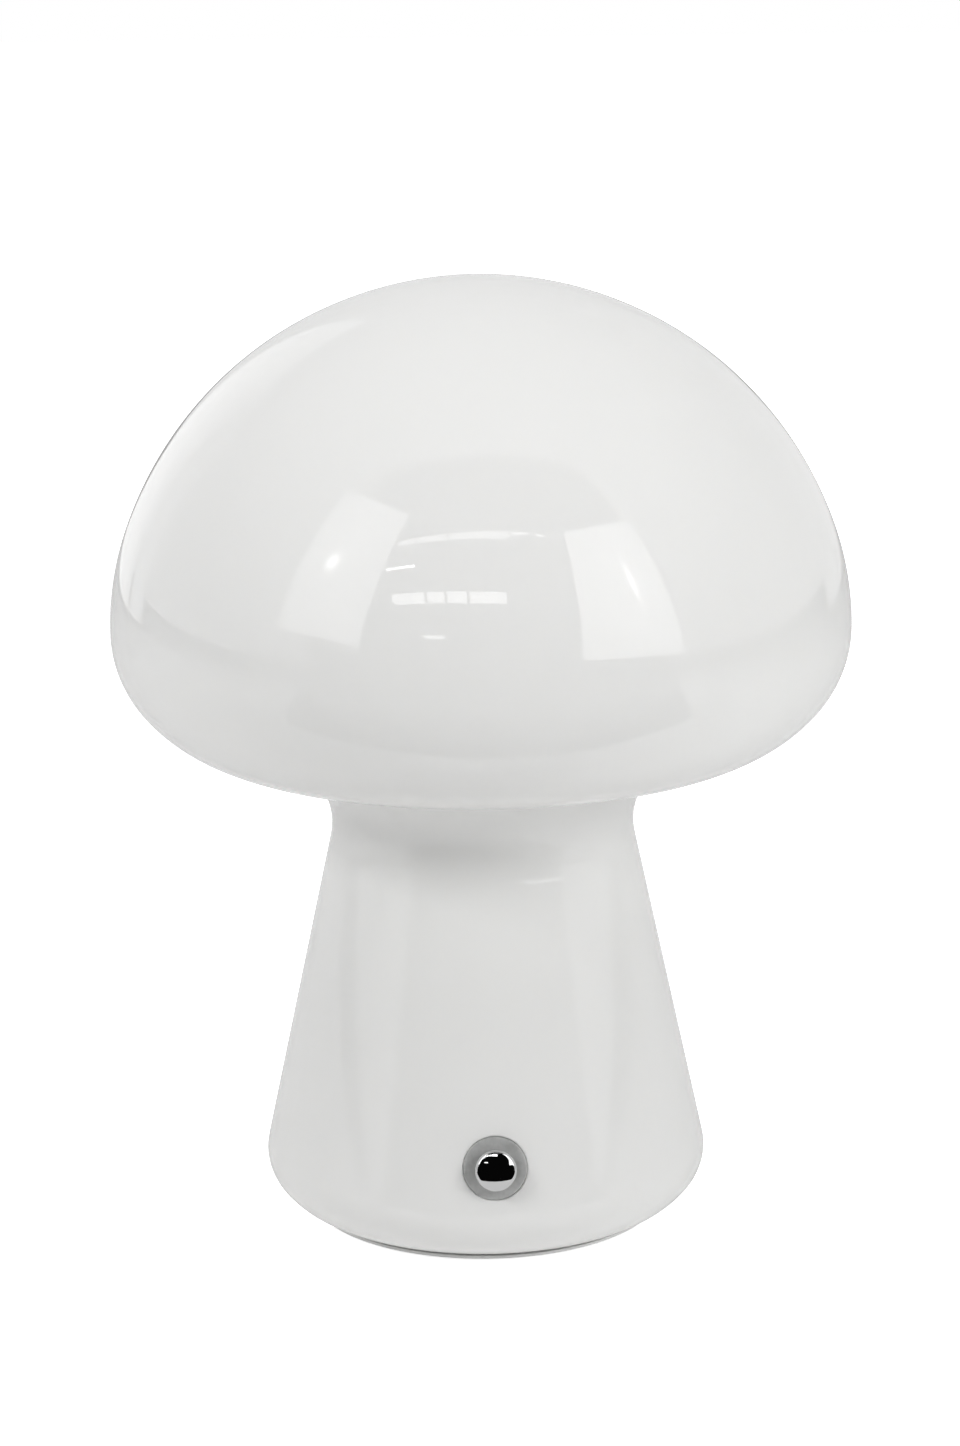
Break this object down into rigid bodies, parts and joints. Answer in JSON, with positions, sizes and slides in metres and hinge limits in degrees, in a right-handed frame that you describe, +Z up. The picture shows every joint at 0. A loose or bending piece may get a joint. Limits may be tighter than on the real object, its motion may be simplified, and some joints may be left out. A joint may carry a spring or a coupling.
{
  "type": "table lamp",
  "caption": "Cordless mushroom table lamp: one-piece opal glass cap and stem, chrome push button in a silicone ring near the foot, battery light unit inside.",
  "frame": {"origin": "centre of the foot on the table", "axes": "+Z up along the lamp, -Y towards the button at the front, +X to the right seen from the front"},
  "size_m": [0.18, 0.18, 0.2325],
  "materials": {
    "opal_glass": "mouth-blown white opal glass with a clear outer layer, glossy",
    "white_abs": "moulded white plastic, fine grain",
    "foot_silicone": "matt grey silicone",
    "spring_steel": "bright spring steel",
    "screw_steel": "zinc-plated",
    "button_chrome": "polished chrome plating",
    "contact_brass": "plain",
    "clear_silicone": "translucent grey silicone",
    "sleeve_chrome": "satin nickel plating",
    "black_plastic": "moulded",
    "lead_insulation": "silicone insulation",
    "socket_steel": "drawn and plated",
    "board_laminate": "green solder mask",
    "column_aluminium": "extruded",
    "cell_wrap": null,
    "cell_foam": "closed-cell foam",
    "natural_plastic": "unpainted nylon",
    "battery_insulation": "silicone insulation",
    "chip_epoxy": "moulded epoxy",
    "capacitor_can": "printed sleeve",
    "chip_ferrite": "shielded ferrite block",
    "cover_abs": "moulded white plastic",
    "spreader_aluminium": "turned",
    "light_laminate": "white solder mask on aluminium",
    "led_phosphor": "yellow phosphor",
    "frosted_dome": "frosted diffuser"
  },
  "bodies": {
    "lamp": {"glass_body": "opal_glass", "base_plate": "white_abs", "foot_pad": "foot_silicone", "retaining_clips": "spring_steel", "clip_screws": "screw_steel", "button_ring": "clear_silicone", "switch_sleeve": "sleeve_chrome", "switch_washer": "screw_steel", "switch_nut": "sleeve_chrome", "switch_housing": "black_plastic", "switch_terminals": "contact_brass", "switch_spring": "spring_steel", "switch_leads": "lead_insulation", "port_ring": "clear_silicone", "usb_socket": "socket_steel", "usb_tongue": "black_plastic", "port_board": "board_laminate", "port_leads": "lead_insulation", "column_tube": "column_aluminium", "column_screws": "screw_steel", "battery_cell": "cell_wrap", "battery_pads": "cell_foam", "cell_spacer": "natural_plastic", "battery_leads": "battery_insulation", "main_board": "board_laminate", "board_screws": "screw_steel", "board_chips": "chip_epoxy", "capacitors": "capacitor_can", "inductor": "chip_ferrite", "wire_sockets": "natural_plastic", "core_cover": "cover_abs", "cover_screws": "screw_steel", "heat_spreader": "spreader_aluminium", "spigot_screws": "screw_steel", "light_board": "light_laminate", "light_screws": "screw_steel", "led_chips": "led_phosphor", "light_leads": "lead_insulation", "lead_clips": "natural_plastic", "light_dome": "frosted_dome"},
    "button": {"button_cap": "button_chrome", "contact_bridge": "contact_brass"}
  },
  "joints": [
    {"name": "button_press", "type": "slide", "parent": "lamp", "child": "button", "axis": [0, 0.977, -0.213], "range_m": [0, 0.001], "stiffness_N_per_m": 800, "springref_m": -0.0005, "deforming": ["switch_spring"]}
  ]
}
